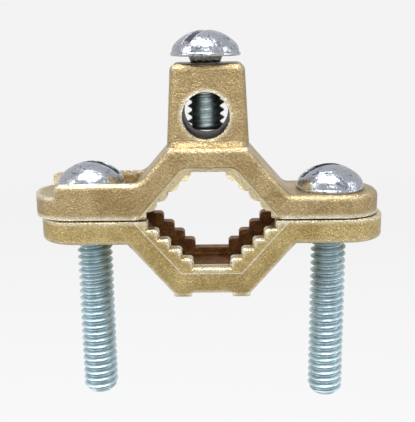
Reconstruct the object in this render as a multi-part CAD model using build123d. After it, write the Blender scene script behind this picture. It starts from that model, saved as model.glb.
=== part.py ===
from build123d import *
import os
from math import atan2, degrees, radians, tan

# Two-jaw earth clamp for a ground rod or water pipe. Millimetres, +Z up.
# The rod runs along Y. The origin is the centre of the rod opening: half way between the two
# clamp screws, in the plane where the jaws part, and half way through the jaws.

# ---- both jaws -----------------------------------------------------------------------------
jaw_depth = 14.2            # along the rod
jaw_length = 58.6           # over the rounded ends of the ears
screw_inset = 8.75          # from the end of an ear to the axis of its clamp screw
ear_end_flat = 1.0          # left at the end of each ear between its rounded corners
parting_gap = 0.24          # left between the jaws when they are closed on nothing
upper_offset = 0.35         # how far the upper jaw has slid to the left on its screws
lower_offset = 0.1          # how far the lower jaw sits to the right

# ---- rod opening: a flat, then stepped teeth up each side -----------------------------------
upper_flat_height = 8.0     # of the upper jaw's flat, from the parting plane
lower_flat_height = 8.2
upper_flat_width = 5.7      # length of the flat between the first teeth
lower_flat_width = 6.1
tooth_run = 1.9             # across, per tooth
tooth_rise = 1.66           # up or down, per tooth
tooth_count = 4             # full teeth on each side of each jaw
upper_tooth_radius = 1.35   # rounded crests of the upper jaw
lower_tooth_radius = 0.75   # rounded crests of the lower jaw
tooth_edge_bevel = 0.3      # broken edge round the lower jaw's teeth, on both faces
rim_width = 2.05            # the teeth stand on two rims, one at each face
groove_depth = 1.3          # the groove between the rims, below the flat
groove_floor_width = 9.6
groove_side_angle = 46.0    # of the groove's sloping sides, from the level
groove_radius = 0.5         # along the groove's bottom corners

# ---- upper jaw -------------------------------------------------------------------------------
upper_ear_thickness = 3.9
bridge_top = 12.0           # of the arch over the opening, above the parting plane
bridge_top_width = 12.7
lipped_ear_extra = 0.75     # the left ear is longer than the right one
shoulder_angle = 48.8       # of the arch's outer slopes, from the level
shoulder_radius = 1.8       # where a slope runs out on its ear
upper_edge_radius = 0.95    # rounded outer edges
rim_bevel_width = 0.9       # bevel round the mouth of the opening, beyond the flat
rim_bevel_depth = 1.1
rim_bevel_angle = 55.0      # of the bevel's surface, from the jaw's face
rim_bevel_corner = 2.5
lip_height = 2.2            # of the raised lips that keep the left head from turning out
lip_thickness = 1.2
front_lip_reach = 25.6      # from the jaw's middle to the end of the front lip
front_lip_end_radius = 1.3
rear_lip_return = 5.0       # the rear lip follows the rounded end as far as this, off the middle
lip_blend_radius = 2.6

# ---- conductor tower -------------------------------------------------------------------------
tower_top = 25.3
tower_base_width = 13.75
tower_base_depth = 11.3
tower_draft = 3.2           # each side leans in by this angle
tower_corner_radius = 1.4
tower_top_radius = 1.1
conductor_hole_offset = 0.3     # the drilled holes are this far left of the tower's middle
conductor_hole_diameter = 7.6
conductor_hole_height = 17.0
conductor_hole_chamfer = 0.2

# ---- lower jaw -------------------------------------------------------------------------------
lower_ear_thickness = 4.2
saddle_bottom = 12.8        # underside of the strap below the opening
saddle_bottom_width = 13.1
lower_bevel_depth = 0.5     # slanting band along the outer lower edges
lower_bevel_height = 1.9
lower_edge_radius = 0.6
lower_top_edge_radius = 0.35
face_plate_proud = 0.22     # the plain plate round the teeth stands this far off the faces
face_plate_margin = 1.05    # how far the plate reaches past the flat
face_plate_floor_width = 10.2
foot_width = 3.1
foot_height = 0.85
foot_spacing = 9.9
foot_setback = 0.5          # from the jaw's faces
foot_corner_radius = 0.6

# ---- screws: 1/4-20 UNC, slotted round head --------------------------------------------------
thread_crest_radius = 3.08
thread_root_radius = 2.4
thread_play = 0.04          # between a crest and the wall of its tapped hole
hole_play = 0.2             # in the upper jaw's plain holes
clamp_screw_length = 38.1
left_head_standoff = 0.85   # the left screw is not run down as far as the right one
conductor_screw_length = 12.2
conductor_head_standoff = 1.2   # its head is this far above the tower's top
tip_chamfer = 0.9
neck_length = 1.25          # plain tapered neck under the conductor screw's head
neck_radius = 2.95
head_radius = 5.85
head_height = 4.2
head_rim = 0.55             # plain band at the foot of the head
head_rim_step = 0.2         # the band stands out this far from the dome
head_shoulder_radius = 2.2  # where the dome turns down to the rim
slot_width = 1.7
slot_depth = 2.2
left_slot_angle = -8.0      # of each slot, from the X axis
right_slot_angle = 8.0
conductor_slot_angle = 52.0

# ---- worked out ------------------------------------------------------------------------------
half_gap = parting_gap / 2
half_depth = jaw_depth / 2
half_length = jaw_length / 2
ear_end_radius = half_depth - ear_end_flat / 2
screw_x = half_length - screw_inset
right_reach = half_length - lipped_ear_extra / 2
left_reach = half_length + lipped_ear_extra / 2
shoulder_run = 1 / tan(radians(shoulder_angle))
groove_run = 1 / tan(radians(groove_side_angle))
tapped_radius = thread_crest_radius + thread_play
plain_hole_radius = thread_crest_radius + upper_offset + hole_play
tower_axis = -upper_offset - conductor_hole_offset
cut = 60.0                  # long enough to pass through anything here


def wire_face(points):
    """A flat face in the XZ plane from its corners, given as (x, z)."""
    return make_face(Polyline(*[(x, 0, z) for x, z in points], close=True))


def slab(face, near, far):
    """A face in the XZ plane, pushed out from y = near to y = far."""
    return extrude(Pos(0, near, 0) * face, far - near, dir=(0, 1, 0))


def mirrored(points):
    """The whole outline from its right half; corners on the middle line are kept once."""
    return points + [(-x, z) for x, z in reversed(points) if x]


def plan_block(low, high, inset=0.0, longer_left=0.0):
    """The jaws' plan shape, a bar with rounded ends, between two heights."""
    width = jaw_length - 2 * inset
    depth = jaw_depth - 2 * inset
    radius = max(ear_end_radius - inset, 0.2)
    plan = RectangleRounded(width, depth, radius)
    return extrude(Pos(-longer_left / 2, 0, low) * plan, high - low)


def edges_along_y(solid, spots, tolerance=0.05):
    """The edges that run along Y through the given (x, z) spots."""
    found = []
    for edge in solid.edges().filter_by(Axis.Y):
        middle = edge.center()
        if any(abs(middle.X - x) < tolerance and abs(middle.Z - z) < tolerance for x, z in spots):
            found.append(edge)
    return found


def tooth_opening(flat_height, flat_width, crest_radius):
    """The toothed half of the rod opening, above the parting plane, through both faces."""
    right = [(0, flat_height), (flat_width / 2, flat_height)]
    crests = []
    for step in range(tooth_count):
        x = flat_width / 2 + step * tooth_run
        z = flat_height - (step + 1) * tooth_rise
        right += [(x, z), (x + tooth_run, z)]
        crests.append((x, z))
    right += [(flat_width / 2 + tooth_count * tooth_run, -1.0)]
    solid = slab(wire_face(mirrored(right)), -cut / 2, cut / 2)
    crests += [(-x, z) for x, z in crests]
    limit = 0.95 * min(tooth_run, tooth_rise)
    return fillet(edges_along_y(solid, crests), min(crest_radius, limit))


def groove(flat_height):
    """The plain groove between the two toothed rims, above the parting plane."""
    top = flat_height + groove_depth
    half = groove_floor_width / 2
    foot = half + (top + 1.0) * groove_run
    profile = wire_face([(-foot, -1.0), (-half, top), (half, top), (foot, -1.0)])
    solid = slab(profile, -half_depth + rim_width, half_depth - rim_width)
    bottom = solid.edges().filter_by(lambda e: min(v.Z for v in e.vertices()) > top - 0.01)
    return fillet(bottom, groove_radius)


def upper_jaw():
    seat = upper_ear_thickness
    slope_foot = bridge_top_width / 2 + (bridge_top - seat) * shoulder_run
    outline = [
        (-bridge_top_width / 2, bridge_top),
        (bridge_top_width / 2, bridge_top),
        (slope_foot, seat),
        (right_reach, seat),
        (right_reach, half_gap),
        (-left_reach, half_gap),
        (-left_reach, seat),
        (-slope_foot, seat),
    ]
    body = slab(wire_face(outline), -half_depth, half_depth)
    feet = [(slope_foot, seat), (-slope_foot, seat)]
    body = fillet(edges_along_y(body, feet), shoulder_radius)
    body = (body + lips(slope_foot)) & plan_block(half_gap, bridge_top, 0, lipped_ear_extra)

    # every outer edge of the top is rounded
    outer = body.edges().filter_by(
        lambda e: min(v.Z for v in e.vertices()) > half_gap + 0.5
        and not e.is_interior
        and e.geom_type in (GeomType.LINE, GeomType.CIRCLE)
        and abs(abs(e.center().Y) - half_depth) < 0.02
    )
    body = fillet(outer, upper_edge_radius)

    body = body + tower()
    opening = tooth_opening(upper_flat_height, upper_flat_width, upper_tooth_radius)
    body = body - opening - groove(upper_flat_height)

    # bevel round the mouth of the opening, on both faces
    mouth_top = upper_flat_height + rim_bevel_width
    mouth_half = upper_flat_width / 2 + 1.6
    below = -upper_ear_thickness
    mouth_foot = mouth_half + (mouth_top - below) * shoulder_run
    bevel_face = wire_face([
        (-mouth_foot, below),
        (-mouth_half, mouth_top),
        (mouth_half, mouth_top),
        (mouth_foot, below),
    ])
    corners = bevel_face.vertices().sort_by(Axis.Z)[-2:]
    bevel_face = fillet(corners, rim_bevel_corner)
    for side in (-1, 1):
        face = Pos(0, side * half_depth, 0) * bevel_face
        body = body - extrude(face, rim_bevel_depth, dir=(0, -side, 0), taper=rim_bevel_angle)

    # plain holes for the clamp screws, centred on the jaw itself
    for side in (-1, 1):
        body = body - Pos(side * screw_x, 0, 0) * Cylinder(plain_hole_radius, 2 * seat + 1)
    return Pos(-upper_offset, 0, 0) * body


def lips(slope_foot):
    """The raised lips along the left ear, front and rear, that die out in the slope."""
    seat = upper_ear_thickness
    top = seat + lip_height
    end = bridge_top_width / 2 + (bridge_top - top) * shoulder_run
    profile = wire_face([
        (-left_reach, seat - 0.5),
        (-left_reach, top),
        (-end, top),
        (-end + lip_height * shoulder_run, top + lip_height),
        (-end + lip_height * shoulder_run + 1.0, seat - 0.5),
    ])
    bar = slab(profile, -half_depth, half_depth)
    bar = fillet(edges_along_y(bar, [(-end, top)]), lip_blend_radius)
    bar = bar - plan_block(seat - 1.0, bridge_top, lip_thickness, lipped_ear_extra)
    bar = bar - Pos(-slope_foot, 0, 0) * Box(slope_foot, jaw_depth - 2 * lip_thickness, cut)
    # the rear lip turns the corner and stops; the front lip stops short with a rounded end
    corner = Box(cut, cut, cut, align=(Align.MAX, Align.MAX, Align.CENTER))
    rear = bar - Pos(0, rear_lip_return, 0) * corner
    front = bar & corner
    front = front - Pos(-front_lip_reach, 0, 0) * corner
    tip = front.edges().filter_by(Axis.Y).filter_by(
        lambda e: abs(e.center().X + front_lip_reach) < 0.05 and abs(e.center().Z - top) < 0.05
    )
    return rear + fillet(tip, front_lip_end_radius)


def tower():
    """The upright block that takes the earthing conductor, with both of its holes."""
    height = tower_top - bridge_top
    root = tower_corner_radius + height * tan(radians(tower_draft))
    base = RectangleRounded(tower_base_width, tower_base_depth, root)
    block = extrude(Pos(0, 0, bridge_top - 1.0) * base, height + 1.0, taper=tower_draft)
    block = fillet(block.faces().sort_by(Axis.Z)[-1].edges(), tower_top_radius)
    radius = conductor_hole_diameter / 2
    drill = Rot(90, 0, 0) * Cylinder(radius, cut)
    for side in (-1, 1):
        # the countersunk mouth follows the leaning face closely enough
        lean = (conductor_hole_height - bridge_top) * tan(radians(tower_draft))
        mouth = tower_base_depth / 2 - lean
        wide = radius + conductor_hole_chamfer + 1.0
        cone = Cone(radius - 1.0, wide, wide - radius + 1.0)
        place = Pos(0, side * (mouth + 1.0 - (wide - radius + 1.0) / 2), 0)
        drill = drill + place * Rot(-90 * side, 0, 0) * cone
    block = block - Pos(-conductor_hole_offset, 0, conductor_hole_height) * drill
    tapped_length = tower_top + 1.0 - conductor_hole_height
    tapped = Cylinder(tapped_radius, tapped_length, align=(Align.CENTER, Align.CENTER, Align.MIN))
    return block - Pos(-conductor_hole_offset, 0, conductor_hole_height) * tapped


def lower_outline(ear_under):
    """The lower jaw's outline in the XZ plane, with its ears' underside at a given height."""
    ear_run = (saddle_bottom + ear_under) * shoulder_run
    return mirrored([
        (0, -half_gap),
        (half_length, -half_gap),
        (half_length, ear_under),
        (saddle_bottom_width / 2 + ear_run, ear_under),
        (saddle_bottom_width / 2, -saddle_bottom),
        (0, -saddle_bottom),
    ])


def lower_jaw():
    under = -lower_ear_thickness
    top = -half_gap
    body = slab(wire_face(lower_outline(under)), -half_depth, half_depth)
    body = body & plan_block(-saddle_bottom, top)
    below = body.edges().filter_by(
        lambda e: max(v.Z for v in e.vertices()) < top - 0.5
        and abs(abs(e.center().Y) - half_depth) < 0.02
    )
    end_start = half_length - ear_end_radius
    rounded_ends = body.edges().filter_by(
        lambda e: abs(e.center().Z - under) < 0.02 and abs(e.center().X) > end_start
    )
    body = fillet(ShapeList(set(below) | set(rounded_ends)), lower_edge_radius)
    upper_rim = body.faces().sort_by(Axis.Z)[-1].edges()
    body = fillet(upper_rim, lower_top_edge_radius)

    # a slanting band along the outer edges below the ears, on both faces
    start = half_depth - lower_bevel_depth
    high = lower_bevel_height + cut
    whole = wire_face(
        [(x, z + (high if z > -1 else 0)) for x, z in lower_outline(under - lower_bevel_height)]
    )
    band = slab(whole, -start, start)
    slant = degrees(atan2(lower_bevel_height, lower_bevel_depth))
    for side in (-1, 1):
        face = Pos(0, side * start, 0) * whole
        band = band + extrude(face, lower_bevel_depth, dir=(0, side, 0), taper=slant)
    body = body & band

    # the plain plate round the teeth stands a little proud of both faces
    plate_z = lower_flat_height + face_plate_margin
    plate_half = face_plate_floor_width / 2
    plate_foot = plate_half + (plate_z - half_gap) * shoulder_run
    plate = wire_face([
        (-plate_foot, -half_gap),
        (plate_foot, -half_gap),
        (plate_half, -plate_z),
        (-plate_half, -plate_z),
    ])
    reach = half_depth + face_plate_proud
    body = body + slab(plate, -reach, reach)

    # two feet across the underside
    foot_length = jaw_depth - 2 * foot_setback
    for side in (-1, 1):
        block = Box(foot_width, foot_length, foot_height + 1.5)
        foot = Pos(side * foot_spacing / 2, 0, -saddle_bottom - foot_height / 2 + 0.75) * block
        sole = foot.faces().sort_by(Axis.Z)[0]
        foot = fillet(sole.edges(), foot_corner_radius)
        body = body + foot

    turned = Rot(0, 180, 0)
    body = body - turned * tooth_opening(lower_flat_height, lower_flat_width, lower_tooth_radius)
    mouth = body.faces().filter_by(Axis.Y).filter_by(
        lambda f: abs(abs(f.center().Y) - reach) < 0.02
    )
    rim = mouth.edges().filter_by(is_tooth_edge)
    body = chamfer(rim, tooth_edge_bevel)
    body = body - turned * groove(lower_flat_height)
    # tapped holes; the thread itself is too fine to model
    for side in (-1, 1):
        hole = Cylinder(tapped_radius, 3 * lower_ear_thickness)
        body = body - Pos(side * screw_x - lower_offset, 0, 0) * hole
    return Pos(lower_offset, 0, 0) * body


def is_tooth_edge(edge):
    """True for an edge of the lower jaw's stepped teeth, as seen on its faces."""
    spot = edge @ 0.5
    inside = lower_flat_width / 2 + (lower_flat_height + spot.Z + 0.3) * tooth_run / tooth_rise
    return -lower_flat_height - 0.02 < spot.Z < -half_gap - 0.02 and abs(spot.X) < inside + 0.2


def head(slot_angle):
    """A slotted round head that sits on z = 0."""
    # the dome is an oval of two arcs, a small one up from the rim and a flat one over the top
    wide = head_radius - head_rim_step
    dome = head_height - head_rim
    shoulder = head_shoulder_radius
    crown = (wide**2 - 2 * wide * shoulder + dome**2) / (2 * (dome - shoulder))
    turn = degrees(atan2(crown - dome, wide - shoulder))
    outline = [
        Line((0, 0), (head_radius - 0.15, 0)),
        Line((head_radius - 0.15, 0), (head_radius, 0.15)),
        Line((head_radius, 0.15), (head_radius, head_rim)),
        Line((head_radius, head_rim), (wide, head_rim)),
        CenterArc((wide - shoulder, head_rim), shoulder, 0, turn),
        CenterArc((0, head_height - crown), crown, turn, 90 - turn),
        Line((0, head_height), (0, 0)),
    ]
    solid = revolve(Plane.XZ * make_face(outline), Axis.Z)
    slot = Box(cut, slot_width, slot_depth, align=(Align.CENTER, Align.CENTER, Align.MAX))
    return solid - Pos(0, 0, head_height) * Rot(0, 0, slot_angle) * slot


def screw(length, slot_angle, neck=0.0):
    """A screw with the underside of its head on z = 0 and its tip at z = -length."""
    r = thread_crest_radius
    outline = [(0, 0)]
    if neck:
        outline += [(neck_radius, 0), (thread_root_radius, -neck), (r, -neck - tip_chamfer)]
    else:
        outline += [(r, 0)]
    outline += [(r, -length + tip_chamfer), (r - tip_chamfer, -length), (0, -length)]
    shank = revolve(Plane.XZ * make_face(Polyline(*outline, close=True)), Axis.Z)
    return head(slot_angle) + shank


seat_z = upper_ear_thickness
parts = {
    "upper_jaw": upper_jaw(),
    "lower_jaw": lower_jaw(),
    "left_clamp_screw": Pos(-screw_x, 0, seat_z + left_head_standoff)
    * screw(clamp_screw_length, left_slot_angle),
    "right_clamp_screw": Pos(screw_x, 0, seat_z) * screw(clamp_screw_length, right_slot_angle),
    "conductor_screw": Pos(tower_axis, 0, tower_top + conductor_head_standoff)
    * screw(conductor_screw_length, conductor_slot_angle, neck_length),
}

os.makedirs("parts", exist_ok=True)
for name, solid in parts.items():
    export_step(solid, f"parts/{name}.step")
    print(name, round(solid.volume, 2), solid.is_valid)
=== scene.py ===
import bpy
import bmesh
import math
from mathutils import Matrix, Vector


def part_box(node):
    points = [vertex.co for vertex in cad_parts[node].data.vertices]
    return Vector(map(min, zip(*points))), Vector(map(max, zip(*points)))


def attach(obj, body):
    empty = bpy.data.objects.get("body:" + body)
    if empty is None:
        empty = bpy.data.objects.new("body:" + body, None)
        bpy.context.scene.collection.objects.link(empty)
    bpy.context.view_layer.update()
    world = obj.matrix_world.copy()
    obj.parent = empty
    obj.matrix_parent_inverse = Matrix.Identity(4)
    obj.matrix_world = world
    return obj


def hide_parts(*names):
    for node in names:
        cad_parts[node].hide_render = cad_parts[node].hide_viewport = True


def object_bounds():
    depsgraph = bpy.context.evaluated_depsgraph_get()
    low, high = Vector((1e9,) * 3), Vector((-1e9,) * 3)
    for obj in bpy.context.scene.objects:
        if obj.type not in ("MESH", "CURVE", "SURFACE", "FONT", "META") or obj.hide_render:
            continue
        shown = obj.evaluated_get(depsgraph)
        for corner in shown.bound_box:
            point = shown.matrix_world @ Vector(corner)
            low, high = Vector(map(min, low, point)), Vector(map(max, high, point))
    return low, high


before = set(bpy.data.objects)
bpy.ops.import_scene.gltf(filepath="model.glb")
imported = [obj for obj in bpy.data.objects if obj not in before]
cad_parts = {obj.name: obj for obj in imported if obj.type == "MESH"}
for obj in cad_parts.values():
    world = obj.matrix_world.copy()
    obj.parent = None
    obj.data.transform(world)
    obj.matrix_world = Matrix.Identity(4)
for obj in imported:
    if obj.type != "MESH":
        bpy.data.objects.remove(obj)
cad_box = [list(corner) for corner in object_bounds()]
collection = bpy.context.scene.collection

# ---- Studio ---------------------------------------------------------------------------------
# The clamp hangs over a pale table that runs into a white backdrop. A broad soft box overhead,
# two weaker ones at the sides and one in front light it evenly. The camera looks slightly down.

eye = bpy.data.cameras.new("camera")
eye.sensor_width = 36
eye.lens = 63.555355
eye.clip_start = 0.01
eye.clip_end = 20
camera = bpy.data.objects.new("camera", eye)
collection.objects.link(camera)
yaw = math.radians(0.59)
pitch = math.radians(13.63)
roll = math.radians(-0.69)
forward = Vector((-math.sin(yaw) * math.cos(pitch), math.cos(yaw) * math.cos(pitch), -math.sin(pitch)))
level = Vector((math.cos(yaw), math.sin(yaw), 0))
upright = level.cross(forward)
right = math.cos(roll) * level + math.sin(roll) * upright
up = -math.sin(roll) * level + math.cos(roll) * upright
turned = Matrix((right, up, -forward)).transposed().to_4x4()
CAMERA_PLACE = (0.00069, -0.12621, 0.03049)
camera.matrix_world = Matrix.Translation(CAMERA_PLACE) @ turned
bpy.context.scene.camera = camera
bpy.context.scene.view_settings.view_transform = "Standard"

BACKDROP_WHITE = (0.896, 0.896, 0.896, 1)
TABLE_GREY = (0.74, 0.74, 0.74, 1)
TABLE_DROP = 0.045
TABLE_HALF_SIDE = 6


def node(tree, kind, inputs=None, **settings):
    """A node of a tree with its settings; an input takes a value or another node's socket."""
    made = tree.nodes.new(kind)
    for key, value in settings.items():
        setattr(made, key, value)
    for key, value in (inputs or {}).items():
        if isinstance(value, bpy.types.NodeSocket):
            tree.links.new(value, made.inputs[key])
        else:
            made.inputs[key].default_value = value
    return made


def seen_directly(tree):
    """One for rays from the camera, a mirror or glass, and nought for the rest."""
    path = node(tree, "ShaderNodeLightPath")
    shiny = node(tree, "ShaderNodeMath", {0: path.outputs["Is Camera Ray"], 1: path.outputs["Is Glossy Ray"]},
                 operation="MAXIMUM")
    return node(tree, "ShaderNodeMath", {0: shiny.outputs[0], 1: path.outputs["Is Transmission Ray"]},
                operation="MAXIMUM").outputs[0]


world = bpy.data.worlds.new("studio")
bpy.context.scene.world = world
world.use_nodes = True
sky = world.node_tree
sky.nodes.clear()
fill = node(sky, "ShaderNodeBackground", {"Color": (0.42, 0.43, 0.45, 1), "Strength": 1.0})
white = node(sky, "ShaderNodeBackground", {"Color": BACKDROP_WHITE, "Strength": 1.0})
both = node(sky, "ShaderNodeMixShader", {0: seen_directly(sky), 1: fill.outputs[0], 2: white.outputs[0]})
node(sky, "ShaderNodeOutputWorld", {"Surface": both.outputs[0]})

table_paint = bpy.data.materials.new("white_table")
table_paint.use_nodes = True
paint = table_paint.node_tree
paint.nodes.clear()
flat = node(paint, "ShaderNodeBsdfDiffuse", {"Color": TABLE_GREY})
glow = node(paint, "ShaderNodeEmission", {"Color": BACKDROP_WHITE, "Strength": 1.0})
# the paint hides the table's far edge, and keeps the clamp's shadow near the middle
on_table = node(paint, "ShaderNodeTexCoord").outputs["Object"]
away = node(paint, "ShaderNodeVectorMath", {0: on_table}, operation="LENGTH")
fade = node(paint, "ShaderNodeMapRange", {
    "Value": away.outputs["Value"], "From Min": 0.1, "From Max": 0.5, "To Min": 0.8, "To Max": 1.0})
share = node(paint, "ShaderNodeMath", {0: seen_directly(paint), 1: fade.outputs[0]}, operation="MULTIPLY")
lit = node(paint, "ShaderNodeMixShader", {0: share.outputs[0], 1: flat.outputs[0], 2: glow.outputs[0]})
node(paint, "ShaderNodeOutputMaterial", {"Surface": lit.outputs[0]})

table_height = cad_box[0][2] - TABLE_DROP
table = bpy.data.meshes.new("table")
table_corners = [(TABLE_HALF_SIDE * x, TABLE_HALF_SIDE * y, table_height)
                 for x, y in ((-1, -1), (1, -1), (1, 1), (-1, 1))]
table.from_pydata(table_corners, [], [(0, 1, 2, 3)])
table.materials.append(table_paint)
table_top = bpy.data.objects.new("table", table)
collection.objects.link(table_top)


def soft_box(name, place, width, height, power):
    """A rectangular soft box that looks at the clamp."""
    lamp = bpy.data.lights.new(name, "AREA")
    lamp.shape = "RECTANGLE"
    lamp.size = width
    lamp.size_y = height
    lamp.energy = power
    holder = bpy.data.objects.new(name, lamp)
    collection.objects.link(holder)
    aim = Vector((0, 0, 0.005)) - Vector(place)
    holder.matrix_world = Matrix.Translation(place) @ aim.to_track_quat("-Z", "Y").to_matrix().to_4x4()


soft_box("overhead", (-0.05, -0.08, 0.50), 0.36, 0.26, 3.7)
soft_box("left", (-0.50, -0.18, 0.20), 0.14, 0.40, 0.9)
soft_box("right", (0.52, -0.12, 0.16), 0.12, 0.40, 0.6)
soft_box("front", (0.05, -0.55, 0.30), 0.24, 0.12, 0.5)

# ---- The two jaws ----------------------------------------------------------------------------
# Bronze castings, shot clean and tumbled, so the skin is satin with a fine sand grain and the
# edges are rubbed bright, with a painted highlight on them too. Inside the jaws' mouths the casting
# is painted a dark reddish brown, partly tarnish and partly painted shade.

SAND_GRAIN = 0.00036
EDGE_REACH = 0.0011
# pale edge colour: rubbed wear with a painted highlight
RUBBED_AND_HIGHLIGHT_BRONZE = (0.80, 0.75, 0.60, 1)
CORNER_DIRT = (0.20, 0.13, 0.055, 1)
# painted light for the mouth's front rim
RIM_PAINTED_LIGHT = (0.90, 0.80, 0.54, 1)
# the mouth's dark brown: tarnish and painted shade
TARNISH_AND_SHADE_DARK = (0.15, 0.060, 0.017, 1)
TARNISH_AND_SHADE_PALE = (0.30, 0.14, 0.045, 1)
# painted shade for the tower's bore
BORE_PAINTED_SHADE = (0.035, 0.028, 0.02, 1)
FRONT_FACE = -0.0070
REAR_FACE = 0.0070
MOUTH_HALF_WIDTH = 0.0148
MOUTH_LEAN = 0.88
TARNISH_AND_SHADE_FADE = 0.0003


def add_sockets(group, takes, gives):
    for label, kind, value in takes:
        socket = group.interface.new_socket(label, in_out="INPUT", socket_type=kind)
        if value is not None:
            socket.default_value = value
    for label, kind in gives:
        group.interface.new_socket(label, in_out="OUTPUT", socket_type=kind)
    return group.nodes.new("NodeGroupInput").outputs, group.nodes.new("NodeGroupOutput").inputs


def maths(tree, operation, first, second=0.0, clamp=False):
    made = node(tree, "ShaderNodeMath", {0: first, 1: second}, operation=operation)
    made.use_clamp = clamp
    return made.outputs[0]


def spread(tree, value, low, high, to_low=0.0, to_high=1.0):
    return node(tree, "ShaderNodeMapRange", {
        "Value": value, "From Min": low, "From Max": high, "To Min": to_low, "To Max": to_high,
    }).outputs["Result"]


def blend_colour(tree, share, first, second, how="MIX"):
    made = node(tree, "ShaderNodeMix", data_type="RGBA", blend_type=how)
    for socket, value in ((made.inputs[0], share), (made.inputs[6], first), (made.inputs[7], second)):
        if isinstance(value, bpy.types.NodeSocket):
            tree.links.new(value, socket)
        else:
            socket.default_value = value
    return made.outputs[2]


# Grain of a metal skin: its relief, and the light and dark specks that go with it.
grain = bpy.data.node_groups.new("metal grain", "ShaderNodeTree")
takes, gives = add_sockets(
    grain,
    [("Vector", "NodeSocketVector", None), ("Grain Size", "NodeSocketFloat", 0.0004),
     ("Fine Share", "NodeSocketFloat", 0.5)],
    [("Relief", "NodeSocketFloat"), ("Specks", "NodeSocketFloat")],
)
coarse_scale = maths(grain, "DIVIDE", 1.0, takes["Grain Size"])
fine_scale = maths(grain, "MULTIPLY", coarse_scale, 2.6)
lumps = node(grain, "ShaderNodeTexNoise", {
    "Vector": takes["Vector"], "Scale": coarse_scale, "Detail": 2.0, "Roughness": 0.55})
grit = node(grain, "ShaderNodeTexNoise", {
    "Vector": takes["Vector"], "Scale": fine_scale, "Detail": 1.0, "Roughness": 0.5})
pits = node(grain, "ShaderNodeTexVoronoi", {"Vector": takes["Vector"], "Scale": coarse_scale},
            feature="SMOOTH_F1")
pebble = maths(grain, "SUBTRACT", 1.0, pits.outputs["Distance"])
coarse = maths(grain, "ADD", lumps.outputs[0], maths(grain, "MULTIPLY", pebble, 0.35))
fine = maths(grain, "MULTIPLY", grit.outputs[0], takes["Fine Share"])
grain.links.new(maths(grain, "ADD", coarse, fine), gives["Relief"])
mixed = maths(grain, "ADD", maths(grain, "MULTIPLY", lumps.outputs[0], 0.4),
              maths(grain, "MULTIPLY", grit.outputs[0], 0.6))
grain.links.new(spread(grain, mixed, 0.36, 0.64), gives["Specks"])

# Wear and shade: one mask where an outward edge is rubbed, which also paints a highlight there, and one down in a
# corner that no cloth reaches: patina on the bronze, painted shade on the zinc.
wear_and_shade = bpy.data.node_groups.new("edge wear and shade", "ShaderNodeTree")
takes, gives = add_sockets(
    wear_and_shade,
    [("Vector", "NodeSocketVector", None), ("Reach", "NodeSocketFloat", 0.0008),
     ("Break-up Size", "NodeSocketFloat", 0.0012)],
    [("Rubbed And Highlight", "NodeSocketFloat"), ("Corner", "NodeSocketFloat")],
)
edge = node(wear_and_shade, "ShaderNodeAmbientOcclusion", {"Distance": takes["Reach"]},
            samples=16, inside=True, only_local=True)
nook = node(wear_and_shade, "ShaderNodeAmbientOcclusion", {"Distance": maths(wear_and_shade, "MULTIPLY", takes["Reach"], 2.0)},
            samples=16, only_local=True)
edge_breakup = node(wear_and_shade, "ShaderNodeTexNoise", {
    "Vector": takes["Vector"], "Scale": maths(wear_and_shade, "DIVIDE", 1.0, takes["Break-up Size"]), "Detail": 3.0})
uneven = spread(wear_and_shade, edge_breakup.outputs[0], 0.35, 0.65, 0.65, 1.15)
near_edge = spread(wear_and_shade, edge.outputs["AO"], 0.94, 0.60)
wear_and_shade.links.new(maths(wear_and_shade, "MULTIPLY", near_edge, uneven, clamp=True), gives["Rubbed And Highlight"])
wear_and_shade.links.new(spread(wear_and_shade, nook.outputs["AO"], 0.85, 0.35), gives["Corner"])


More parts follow.
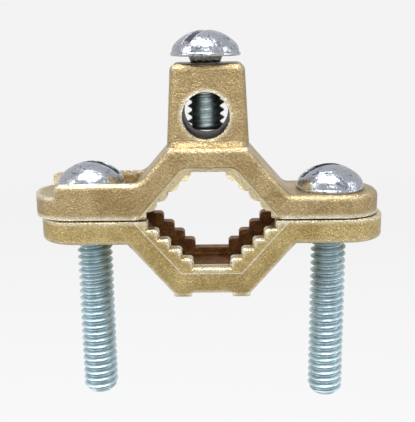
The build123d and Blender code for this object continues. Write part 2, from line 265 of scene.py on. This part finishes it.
def bronze(name, light, mid, mouth_low, mouth_high, mouth_front, hole=(0, 0, 0), rim_light_share=0.0,
           rubbed_highlight_share=0.85):
    """A jaw's material; tarnish and painted shade lie in its mouth, between two heights and behind mouth_front.

    hole is the x, z and radius of the tower's bored hole, which takes painted shade. The two shares
    say how much painted light the mouth's front rim takes, and how pale the edges are painted (wear and highlight).
    """
    made = bpy.data.materials.new(name)
    made.use_nodes = True
    tree = made.node_tree
    tree.nodes.clear()
    where = node(tree, "ShaderNodeTexCoord").outputs["Object"]
    skin = node(tree, "ShaderNodeGroup", node_tree=grain)
    tree.links.new(where, skin.inputs["Vector"])
    skin.inputs["Grain Size"].default_value = SAND_GRAIN
    skin.inputs["Fine Share"].default_value = 0.55
    worn_and_shaded = node(tree, "ShaderNodeGroup", node_tree=wear_and_shade)
    tree.links.new(where, worn_and_shaded.inputs["Vector"])
    worn_and_shaded.inputs["Reach"].default_value = EDGE_REACH

    # the tone drifts over the casting, from a warmer to a paler bronze
    drift = node(tree, "ShaderNodeTexNoise", {"Vector": where, "Scale": 190.0, "Detail": 3.0})
    tone = spread(tree, drift.outputs[0], 0.36, 0.64)
    colour = blend_colour(tree, tone, mid, light)
    specks = spread(tree, skin.outputs["Specks"], 0.0, 1.0, 0.62, 1.36)
    grey = node(tree, "ShaderNodeCombineColor", {0: specks, 1: specks, 2: specks})
    colour = blend_colour(tree, 1.0, colour, grey.outputs[0], "MULTIPLY")
    rubbed_and_highlight = worn_and_shaded.outputs["Rubbed And Highlight"]
    # edges painted paler: rubbed wear and a painted highlight
    colour = blend_colour(tree, maths(tree, "MULTIPLY", rubbed_and_highlight, rubbed_highlight_share), colour, RUBBED_AND_HIGHLIGHT_BRONZE)
    corner = maths(tree, "MULTIPLY", worn_and_shaded.outputs["Corner"], 0.22)
    colour = blend_colour(tree, corner, colour, CORNER_DIRT)

    # the mouth is painted dark brown: partly tarnish, partly painted shade of the recess
    axes = node(tree, "ShaderNodeSeparateXYZ", {"Vector": where})
    x, y, z = axes.outputs
    above = spread(tree, z, mouth_low, mouth_low + TARNISH_AND_SHADE_FADE)
    below = spread(tree, z, mouth_high + TARNISH_AND_SHADE_FADE, mouth_high)
    behind = spread(tree, y, mouth_front, mouth_front + 0.0004)
    inner = spread(tree, y, REAR_FACE + 0.00006, REAR_FACE - 0.00002)
    across = spread(tree, maths(tree, "ABSOLUTE", x), MOUTH_HALF_WIDTH, MOUTH_HALF_WIDTH - TARNISH_AND_SHADE_FADE)
    inside = maths(tree, "MULTIPLY", above, below)
    # the slope of the mouth's outer side keeps that dark paint off the outside of the casting
    height = maths(tree, "ABSOLUTE", z)
    reach = maths(tree, "ADD", maths(tree, "ABSOLUTE", x), maths(tree, "MULTIPLY", height, MOUTH_LEAN))
    for mask in (across, spread(tree, reach, MOUTH_HALF_WIDTH, MOUTH_HALF_WIDTH - 0.0004)):
        inside = maths(tree, "MULTIPLY", inside, mask)
    # painted light on the mouth's front rim, between the front face and the mouth's dark brown
    off_face = spread(tree, y, FRONT_FACE - 0.00004, FRONT_FACE + 0.0001)
    off_tarnish_and_shade = spread(tree, y, mouth_front, mouth_front - TARNISH_AND_SHADE_FADE)
    painted_rim_light = maths(tree, "MULTIPLY", maths(tree, "MULTIPLY", off_face, off_tarnish_and_shade), inside)
    colour = blend_colour(tree, maths(tree, "MULTIPLY", painted_rim_light, rim_light_share), colour, RIM_PAINTED_LIGHT)
    for mask in (behind, inner):
        inside = maths(tree, "MULTIPLY", inside, mask)
    stain = node(tree, "ShaderNodeTexNoise", {"Vector": where, "Scale": 620.0, "Detail": 4.0})
    tarnish_and_shade = blend_colour(tree, spread(tree, stain.outputs[0], 0.35, 0.65), TARNISH_AND_SHADE_DARK, TARNISH_AND_SHADE_PALE)
    # painted shade in the bored hole of the tower
    bore_x = maths(tree, "SUBTRACT", x, hole[0])
    bore_z = maths(tree, "SUBTRACT", z, hole[1])
    off_axis = maths(tree, "ADD", maths(tree, "MULTIPLY", bore_x, bore_x), maths(tree, "MULTIPLY", bore_z, bore_z))
    bore_shade = spread(tree, maths(tree, "SQRT", off_axis), hole[2] + 0.00006, hole[2] + 0.00003)
    # paint the mouth's tarnish and painted shade
    colour = blend_colour(tree, maths(tree, "MULTIPLY", inside, 0.97), colour, tarnish_and_shade)
    # paint the bore's painted shade
    colour = blend_colour(tree, bore_shade, colour, BORE_PAINTED_SHADE)
    inside = maths(tree, "MAXIMUM", inside, bore_shade)

    gloss = spread(tree, skin.outputs["Specks"], 0.0, 1.0, 0.42, 0.26)
    gloss = maths(tree, "SUBTRACT", gloss, maths(tree, "MULTIPLY", rubbed_and_highlight, 0.12))
    gloss = maths(tree, "ADD", gloss, maths(tree, "MULTIPLY", inside, 0.18))
    # the mould's own unevenness, with the grain on top of it
    swell = node(tree, "ShaderNodeTexNoise", {"Vector": where, "Scale": 420.0, "Detail": 2.5})
    uneven = node(tree, "ShaderNodeBump", {"Strength": 1.0, "Distance": 0.00011, "Height": swell.outputs[0]})
    relief = node(tree, "ShaderNodeBump", {
        "Strength": 1.0, "Distance": 0.00017, "Height": skin.outputs["Relief"], "Normal": uneven.outputs[0]})
    metal = spread(tree, inside, 0.0, 1.0, 1.0, 0.8)
    surface = node(tree, "ShaderNodeBsdfPrincipled", {
        "Base Color": colour, "Metallic": metal, "Roughness": gloss, "Normal": relief.outputs[0]})
    node(tree, "ShaderNodeOutputMaterial", {"Surface": surface.outputs[0]})
    return made


# the mouth's tarnish and painted shade reach from just off the parting plane to the groove's floor
NEAR_PARTING = 0.0003
GROOVE_FLOOR = 0.0098
TARNISH_AND_SHADE_FRONT = -0.0051
UPPER_LIGHT, UPPER_MID = (0.42, 0.32, 0.168, 1), (0.315, 0.225, 0.103, 1)
LOWER_LIGHT, LOWER_MID = (0.49, 0.38, 0.175, 1), (0.375, 0.275, 0.11, 1)
CONDUCTOR_HOLE = (-0.00065, 0.017, 0.0038)
upper_bronze = bronze("satin_bronze_upper", UPPER_LIGHT, UPPER_MID, NEAR_PARTING, GROOVE_FLOOR, TARNISH_AND_SHADE_FRONT,
                      hole=CONDUCTOR_HOLE, rim_light_share=0.85)
lower_bronze = bronze("satin_bronze_lower", LOWER_LIGHT, LOWER_MID, -GROOVE_FLOOR, -NEAR_PARTING, TARNISH_AND_SHADE_FRONT,
                      rim_light_share=0.15)
for jaw, finish in (("upper_jaw", upper_bronze), ("lower_jaw", lower_bronze)):
    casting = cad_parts[jaw]
    casting.data.materials.clear()
    casting.data.materials.append(finish)

# ---- The tower's foot ------------------------------------------------------------------------
# The upper casting flows from its arch into the conductor tower in a soft hollow, at the front
# and at the back. It is cast in one with the jaw; at the sides it dies out in the arch's slopes.

TOWER_MIDDLE = -0.00035
TOWER_HALF_WIDTH = 0.006875
TOWER_HALF_DEPTH = 0.00565
TOWER_CORNER = 0.00214
TOWER_DRAFT = math.radians(3.2)
ARCH_TOP = 0.012
ARCH_HALF_TOP = 0.00635
ARCH_SLOPE = math.radians(48.8)
ARCH_EDGE = 0.00095
ARCH_EDGE_START = 0.00615
HOLLOW = 0.0009
HOLLOW_DEPTH = 0.0018
HOLLOW_FLOOR = 0.0105
SINK = 0.00004
CORNER_STEPS = 12
BOW_STEPS = 8


def arch_height(x, y):
    """The arch's upper surface beside the tower, with its rounded front and rear edges."""
    slope = max(0.0, abs(x) - ARCH_HALF_TOP) * math.tan(ARCH_SLOPE)
    over = min(max(0.0, abs(y) - ARCH_EDGE_START), 0.00090)
    return ARCH_TOP - slope - (ARCH_EDGE - math.sqrt(ARCH_EDGE**2 - over**2))


hollow = bmesh.new()
rings = []
for corner, (side_x, side_y) in enumerate(((1, -1), (1, 1), (-1, 1), (-1, -1))):
    for step in range(CORNER_STEPS + 1):
        angle = math.radians(-90 + 90 * corner + 90 * step / CORNER_STEPS)
        nx, ny = math.cos(angle), math.sin(angle)
        px = side_x * (TOWER_HALF_WIDTH - TOWER_CORNER) + TOWER_CORNER * nx
        py = side_y * (TOWER_HALF_DEPTH - TOWER_CORNER) + TOWER_CORNER * ny
        # the hollow is full at the front and the back, and fades to nothing at the sides
        size = HOLLOW * abs(ny) ** 1.6
        ring = []
        for bow in range(BOW_STEPS + 1):
            swing = math.radians(90 * bow / BOW_STEPS)
            out = size * (1 - math.sin(swing))
            lift = size * (1 - math.cos(swing))
            out -= SINK + (lift + 0.0001) * math.tan(TOWER_DRAFT) * bow / BOW_STEPS
            x, y = px + nx * out, py + ny * out
            ring.append((x, y, arch_height(x, y) + lift))
        # the rest of the ring closes it inside the casting
        deep_x, deep_y = px - HOLLOW_DEPTH * nx, py - HOLLOW_DEPTH * ny
        ring.append((deep_x, deep_y, ring[-1][2]))
        ring.append((deep_x, deep_y, HOLLOW_FLOOR))
        ring.append((px + nx * size * 0.4, py + ny * size * 0.4, HOLLOW_FLOOR))
        rings.append([hollow.verts.new((x + TOWER_MIDDLE, y, z)) for x, y, z in ring])
for here, there in zip(rings, rings[1:] + rings[:1]):
    for k in range(len(here)):
        after = (k + 1) % len(here)
        hollow.faces.new((here[k], there[k], there[after], here[after]))
bmesh.ops.recalc_face_normals(hollow, faces=hollow.faces)
foot_mesh = bpy.data.meshes.new("tower_foot")
hollow.to_mesh(foot_mesh)
hollow.free()
foot_mesh.shade_smooth()
foot_mesh.set_sharp_from_angle(angle=math.radians(40))
# a thin shell reads as all edge, so its material takes little of the pale edge paint (rubbing and painted highlight)
foot_mesh.materials.append(bronze("satin_bronze_foot", UPPER_LIGHT, UPPER_MID, NEAR_PARTING, GROOVE_FLOOR,
                                  TARNISH_AND_SHADE_FRONT, rubbed_highlight_share=0.2))
tower_foot = bpy.data.objects.new("tower_foot", foot_mesh)
collection.objects.link(tower_foot)
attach(tower_foot, "upper_jaw")

# ---- The screws ------------------------------------------------------------------------------
# Three 1/4-20 round-head machine screws of zinc-plated steel: heads cold-headed, slots sawn,
# threads rolled up to the head. The short one in the tower has a plain neck below its head.

CREST = 0.00308
ROOT = 0.00240
PITCH = 0.00127
ROWS_PER_PITCH = 14
TIP_RADIUS = 0.0021
HEAD_RADIUS = 0.00585
HEAD_HEIGHT = 0.0042
HEAD_SHOULDER = 0.0022
HEAD_SIDES = 96
SHOULDER_STEPS = 8
CROWN_STEPS = 14
RIM_HEIGHT = 0.00055
RIM_STEP = 0.0002
RIM_EASE = 0.00012
SLOT_WIDTH = 0.0017
SLOT_DEPTH = 0.0022
SLOT_BURR = 0.00009


ZINC_GRAIN = 0.0003
ZINC_REACH = 0.0004
# pale edge colour: rubbed wear with a painted highlight
RUBBED_AND_HIGHLIGHT_ZINC = (0.78, 0.84, 0.86, 1)
# dark colour for roots and corners: painted shade
CORNER_PAINTED_SHADE = (0.035, 0.033, 0.030, 1)
MOTTLE_LOW, MOTTLE_HIGH = 0.30, 0.72


def zinc_plate(name, tones, mottle_size, wave, gloss_low, gloss_high, corner_shade):
    """Zinc plate with its mottled passivation: tones runs from the dark patches to the pale ones."""
    made = bpy.data.materials.new(name)
    made.use_nodes = True
    tree = made.node_tree
    tree.nodes.clear()
    where = node(tree, "ShaderNodeTexCoord").outputs["Object"]
    skin = node(tree, "ShaderNodeGroup", node_tree=grain)
    tree.links.new(where, skin.inputs["Vector"])
    skin.inputs["Grain Size"].default_value = ZINC_GRAIN
    worn_and_shaded = node(tree, "ShaderNodeGroup", node_tree=wear_and_shade)
    tree.links.new(where, worn_and_shaded.inputs["Vector"])
    worn_and_shaded.inputs["Reach"].default_value = ZINC_REACH
    mottle = node(tree, "ShaderNodeTexNoise", {
        "Vector": where, "Scale": 1 / mottle_size, "Detail": 3.5, "Roughness": 0.6, "Distortion": 0.9})
    hues = node(tree, "ShaderNodeValToRGB", {"Fac": mottle.outputs[0]})
    ramp = hues.color_ramp
    ramp.elements[0].position = MOTTLE_LOW
    ramp.elements[0].color = tones[0]
    ramp.elements[1].position = MOTTLE_HIGH
    ramp.elements[1].color = tones[-1]
    for k, tone in enumerate(tones[1:-1]):
        place = MOTTLE_LOW + (MOTTLE_HIGH - MOTTLE_LOW) * (k + 1) / (len(tones) - 1)
        ramp.elements.new(place).color = tone
    specks = spread(tree, skin.outputs["Specks"], 0.0, 1.0, 0.78, 1.16)
    grey = node(tree, "ShaderNodeCombineColor", {0: specks, 1: specks, 2: specks})
    colour = blend_colour(tree, 1.0, hues.outputs[0], grey.outputs[0], "MULTIPLY")
    # edges painted paler: rubbed wear and a painted highlight
    rubbed_and_highlight = maths(tree, "MULTIPLY", worn_and_shaded.outputs["Rubbed And Highlight"], 0.45)
    colour = blend_colour(tree, rubbed_and_highlight, colour, RUBBED_AND_HIGHLIGHT_ZINC)
    # roots and corners darkened: painted shade
    shaded_corners = maths(tree, "MULTIPLY", worn_and_shaded.outputs["Corner"], corner_shade)
    colour = blend_colour(tree, shaded_corners, colour, CORNER_PAINTED_SHADE)
    waves = node(tree, "ShaderNodeTexNoise", {"Vector": where, "Scale": 1 / mottle_size, "Detail": 2.0})
    height = maths(tree, "ADD", waves.outputs[0], maths(tree, "MULTIPLY", skin.outputs["Relief"], 0.12))
    relief = node(tree, "ShaderNodeBump", {"Strength": 1.0, "Distance": wave, "Height": height})
    gloss = spread(tree, skin.outputs["Specks"], 0.0, 1.0, gloss_high, gloss_low)
    surface = node(tree, "ShaderNodeBsdfPrincipled", {
        "Base Color": colour, "Metallic": 1.0, "Roughness": gloss, "Normal": relief.outputs[0]})
    node(tree, "ShaderNodeOutputMaterial", {"Surface": surface.outputs[0]})
    return made


# the heads are bright and mottled, the threads bluer and more even, with painted shade in the roots
HEAD_TONES = [(0.06, 0.06, 0.08, 1), (0.22, 0.25, 0.32, 1), (0.39, 0.43, 0.46, 1), (0.37, 0.35, 0.40, 1),
              (0.39, 0.43, 0.48, 1), (0.57, 0.61, 0.62, 1)]
THREAD_TONES = [(0.36, 0.48, 0.53, 1), (0.48, 0.63, 0.69, 1), (0.55, 0.70, 0.76, 1)]
SET_SCREW_TONES = [(0.50, 0.57, 0.57, 1), (0.65, 0.75, 0.76, 1), (0.74, 0.84, 0.85, 1)]
head_zinc = zinc_plate("bright_zinc_heads", HEAD_TONES, mottle_size=0.0008, wave=0.00013,
                       gloss_low=0.15, gloss_high=0.28, corner_shade=0.25)
thread_zinc = zinc_plate("blue_zinc_threads", THREAD_TONES, mottle_size=0.0022, wave=0.00003,
                         gloss_low=0.40, gloss_high=0.50, corner_shade=0.8)
set_screw_zinc = zinc_plate("plain_zinc_set_screw", SET_SCREW_TONES, mottle_size=0.0022, wave=0.00003,
                            gloss_low=0.30, gloss_high=0.42, corner_shade=0.6)


def slotted_head(name, centre, foot, slot_angle):
    """A round head with its slot, standing on the height foot."""
    # the outline is a low rim, a tight shoulder and a flatter crown that runs on from it
    wide = HEAD_RADIUS - RIM_STEP
    dome = HEAD_HEIGHT - RIM_HEIGHT
    neck = wide - HEAD_SHOULDER
    crown = (wide**2 - 2 * wide * HEAD_SHOULDER + dome**2) / (2 * (dome - HEAD_SHOULDER))
    turn = math.atan2(crown - dome, neck)
    outline = [(HEAD_RADIUS - 0.00015, 0), (HEAD_RADIUS, RIM_EASE), (HEAD_RADIUS, RIM_HEIGHT - RIM_EASE),
               (HEAD_RADIUS - 0.00008, RIM_HEIGHT), (wide, RIM_HEIGHT + 0.00006)]
    for step in range(1, SHOULDER_STEPS + 1):
        angle = turn * step / SHOULDER_STEPS
        outline.append((neck + HEAD_SHOULDER * math.cos(angle), RIM_HEIGHT + HEAD_SHOULDER * math.sin(angle)))
    for step in range(1, CROWN_STEPS):
        angle = turn + (math.pi / 2 - turn) * step / CROWN_STEPS
        outline.append((crown * math.cos(angle), HEAD_HEIGHT - crown + crown * math.sin(angle)))
    made = bmesh.new()
    rings = []
    for radius, height in outline:
        rings.append([made.verts.new((radius * math.cos(2 * math.pi * k / HEAD_SIDES),
                                      radius * math.sin(2 * math.pi * k / HEAD_SIDES), height))
                      for k in range(HEAD_SIDES)])
    for lower, upper in zip(rings, rings[1:]):
        for k in range(HEAD_SIDES):
            after = (k + 1) % HEAD_SIDES
            made.faces.new((lower[k], lower[after], upper[after], upper[k]))
    made.faces.new(list(reversed(rings[0])))
    top = made.verts.new((0, 0, HEAD_HEIGHT))
    for k in range(HEAD_SIDES):
        made.faces.new((rings[-1][k], rings[-1][(k + 1) % HEAD_SIDES], top))
    mesh = bpy.data.meshes.new(name)
    made.to_mesh(mesh)
    made.free()
    blank = bpy.data.objects.new(name, mesh)
    collection.objects.link(blank)

    saw = bpy.data.meshes.new("saw")
    half, floor, clear = SLOT_WIDTH / 2, HEAD_HEIGHT - SLOT_DEPTH, 0.01
    corners = [(x, y, z) for z in (floor, clear)
               for x, y in ((-clear, -half), (clear, -half), (clear, half), (-clear, half))]
    saw.from_pydata(corners, [], [(3, 2, 1, 0), (4, 5, 6, 7), (0, 1, 5, 4), (1, 2, 6, 5), (2, 3, 7, 6), (3, 0, 4, 7)])
    saw.transform(Matrix.Rotation(math.radians(slot_angle), 4, "Z"))
    blade = bpy.data.objects.new("saw", saw)
    collection.objects.link(blade)
    cutting = blank.modifiers.new("slot", "BOOLEAN")
    cutting.object = blade
    cutting.solver = "EXACT"
    eased = blank.modifiers.new("burr", "BEVEL")
    eased.width = SLOT_BURR
    eased.segments = 2
    eased.limit_method = "ANGLE"
    eased.angle_limit = math.radians(50)
    whole = bpy.data.meshes.new_from_object(blank.evaluated_get(bpy.context.evaluated_depsgraph_get()))
    bpy.data.objects.remove(blank)
    bpy.data.objects.remove(blade)
    whole.transform(Matrix.Translation((centre.x, centre.y, foot)))
    return whole


# The thread is a sheet wound round the screw's axis: each row of the sheet follows the helix,
# and its radius steps from crest to root and back once per pitch. Beyond the tip and beyond
# the top the rows close in on the axis, which gives the screw its flat chamfered end.
rolling = bpy.data.node_groups.new("rolled thread", "GeometryNodeTree")
takes, gives = add_sockets(
    rolling,
    [("Head", "NodeSocketGeometry", None), ("Crest Radius", "NodeSocketFloat", CREST),
     ("Root Radius", "NodeSocketFloat", ROOT), ("Pitch", "NodeSocketFloat", PITCH),
     ("Rows per Pitch", "NodeSocketInt", ROWS_PER_PITCH), ("Rows", "NodeSocketInt", 100),
     ("Around", "NodeSocketInt", 49), ("First Row", "NodeSocketFloat", 0.0),
     ("Tip Height", "NodeSocketFloat", 0.0), ("Tip Radius", "NodeSocketFloat", TIP_RADIUS),
     ("Top Height", "NodeSocketFloat", 0.0), ("Head Foot", "NodeSocketFloat", 0.0),
     ("Neck Length", "NodeSocketFloat", 0.0), ("Neck Radius", "NodeSocketFloat", 0.00295),
     ("Axis", "NodeSocketVector", None),
     ("Head Finish", "NodeSocketMaterial", None), ("Thread Finish", "NodeSocketMaterial", None)],
    [("Screw", "NodeSocketGeometry")],
)


def least(first, second):
    return maths(rolling, "MINIMUM", first, second)


def most(first, second):
    return maths(rolling, "MAXIMUM", first, second)


sheet = node(rolling, "GeometryNodeMeshGrid", {
    "Size X": 1.0, "Size Y": 1.0, "Vertices X": takes["Around"], "Vertices Y": takes["Rows"]})
spot = node(rolling, "ShaderNodeSeparateXYZ", {0: node(rolling, "GeometryNodeInputPosition").outputs[0]})
turn_share = maths(rolling, "ADD", spot.outputs[0], 0.5)
last_row = maths(rolling, "SUBTRACT", takes["Rows"], 1.0)
row = maths(rolling, "ROUND", maths(rolling, "MULTIPLY", maths(rolling, "ADD", spot.outputs[1], 0.5), last_row))
pitches = maths(rolling, "DIVIDE", row, takes["Rows per Pitch"])
climb = maths(rolling, "MULTIPLY", maths(rolling, "ADD", pitches, turn_share), takes["Pitch"])
raw = maths(rolling, "ADD", takes["First Row"], climb)
off_middle = maths(rolling, "SUBTRACT", maths(rolling, "FRACT", pitches), 0.5)
off_crest = maths(rolling, "MULTIPLY", maths(rolling, "ABSOLUTE", off_middle), 2.0)
depth = maths(rolling, "SUBTRACT", takes["Crest Radius"], takes["Root Radius"])
flank = node(rolling, "ShaderNodeMapRange", {
    "Value": off_crest, "From Min": 0.08, "From Max": 0.78, "To Min": 0.0, "To Max": 1.0})
radius = maths(rolling, "SUBTRACT", takes["Crest Radius"], maths(rolling, "MULTIPLY", flank.outputs[0], depth))
# the neck: a plain cone that swallows the last turns of the thread
below_top = maths(rolling, "SUBTRACT", takes["Top Height"], raw)
neck_share = maths(rolling, "DIVIDE", below_top, most(takes["Neck Length"], 0.000001))
taper = maths(rolling, "SUBTRACT", takes["Neck Radius"], takes["Root Radius"])
cone = maths(rolling, "SUBTRACT", takes["Neck Radius"], maths(rolling, "MULTIPLY", neck_share, taper))
on_neck = node(rolling, "ShaderNodeMapRange", {
    "Value": neck_share, "From Min": 1.25, "From Max": 0.9, "To Min": 0.0, "To Max": 1.0})
on_thread = maths(rolling, "SUBTRACT", 1.0, on_neck.outputs[0])
radius = maths(rolling, "ADD", maths(rolling, "MULTIPLY", radius, on_thread),
               maths(rolling, "MULTIPLY", cone, on_neck.outputs[0]))
tip_cone = maths(rolling, "ADD", takes["Tip Radius"], maths(rolling, "SUBTRACT", raw, takes["Tip Height"]))
top_cone = maths(rolling, "ADD", takes["Crest Radius"], below_top)
radius = most(least(least(radius, tip_cone), top_cone), 0.0)
height = least(most(raw, takes["Tip Height"]), takes["Top Height"])
angle = maths(rolling, "MULTIPLY", turn_share, 2 * math.pi)
wound = node(rolling, "ShaderNodeCombineXYZ", {
    0: maths(rolling, "MULTIPLY", radius, maths(rolling, "COSINE", angle)),
    1: maths(rolling, "MULTIPLY", radius, maths(rolling, "SINE", angle)), 2: height})
placed = node(rolling, "ShaderNodeVectorMath", {0: wound.outputs[0], 1: takes["Axis"]}, operation="ADD")
rolled = node(rolling, "GeometryNodeSetPosition", {"Geometry": sheet.outputs[0], "Position": placed.outputs[0]})
sealed = node(rolling, "GeometryNodeMergeByDistance", {"Geometry": rolled.outputs[0], "Distance": 0.000002})
joined = node(rolling, "GeometryNodeJoinGeometry")
rolling.links.new(sealed.outputs[0], joined.inputs[0])
rolling.links.new(takes["Head"], joined.inputs[0])
real = node(rolling, "GeometryNodeRealizeInstances", {"Geometry": joined.outputs[0]})
plated = node(rolling, "GeometryNodeSetMaterial", {"Geometry": real.outputs[0], "Material": takes["Head Finish"]})
spot = node(rolling, "ShaderNodeSeparateXYZ", {0: node(rolling, "GeometryNodeInputPosition").outputs[0]})
threaded = node(rolling, "FunctionNodeCompare", {"A": spot.outputs[2], "B": takes["Head Foot"]},
                data_type="FLOAT", operation="LESS_THAN")
dulled = node(rolling, "GeometryNodeSetMaterial", {
    "Geometry": plated.outputs[0], "Selection": threaded.outputs[0], "Material": takes["Thread Finish"]})
rolling.links.new(dulled.outputs[0], gives["Screw"])

# each screw: its CAD node, its body, the slot's angle, where a crest meets the left-hand side of
# the thread, the neck below the head, and the plating
screws = [
    ("left_clamp_screw", "left_screw", -8, -0.00687, 0.0, thread_zinc),
    ("right_clamp_screw", "right_screw", 8, -0.0072, 0.0, thread_zinc),
    ("conductor_screw", "conductor_screw", 52, 0.01687, 0.00125, set_screw_zinc),
]
# spare turns below the tip and above the top, which close in on the axis
RUN_OUT = 0.0045
for name, body, slot_angle, crest_height, neck, plating in screws:
    low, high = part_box(name)
    centre = (low + high) / 2
    foot = high.z - HEAD_HEIGHT
    blank = bpy.data.objects.new(name + "_finished", slotted_head(name, centre, foot, slot_angle))
    collection.objects.link(blank)
    first = crest_height - PITCH * math.ceil((crest_height - low.z + RUN_OUT) / PITCH)
    top = foot + 0.00005 if neck else foot + 0.0003
    values = {
        "Rows": math.ceil((top + RUN_OUT - first) / PITCH) * ROWS_PER_PITCH + 1, "First Row": first,
        "Tip Height": low.z, "Top Height": top, "Neck Length": neck, "Axis": (centre.x, centre.y, 0),
        "Head Foot": foot - neck - 0.00002, "Head Finish": head_zinc, "Thread Finish": plating,
    }
    threading = blank.modifiers.new("rolled thread", "NODES")
    threading.node_group = rolling
    for item in rolling.interface.items_tree:
        if item.in_out == "INPUT" and item.name in values:
            threading[item.identifier] = values[item.name]
    whole = bpy.data.meshes.new_from_object(blank.evaluated_get(bpy.context.evaluated_depsgraph_get()))
    whole.name = name + "_finished"
    bpy.data.objects.remove(blank)
    facing = bmesh.new()
    facing.from_mesh(whole)
    bmesh.ops.remove_doubles(facing, verts=facing.verts, dist=0.000001)
    bmesh.ops.recalc_face_normals(facing, faces=facing.faces)
    facing.to_mesh(whole)
    facing.free()
    whole.shade_smooth()
    whole.set_sharp_from_angle(angle=math.radians(38))
    piece = bpy.data.objects.new(name + "_finished", whole)
    collection.objects.link(piece)
    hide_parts(name)
    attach(piece, body)
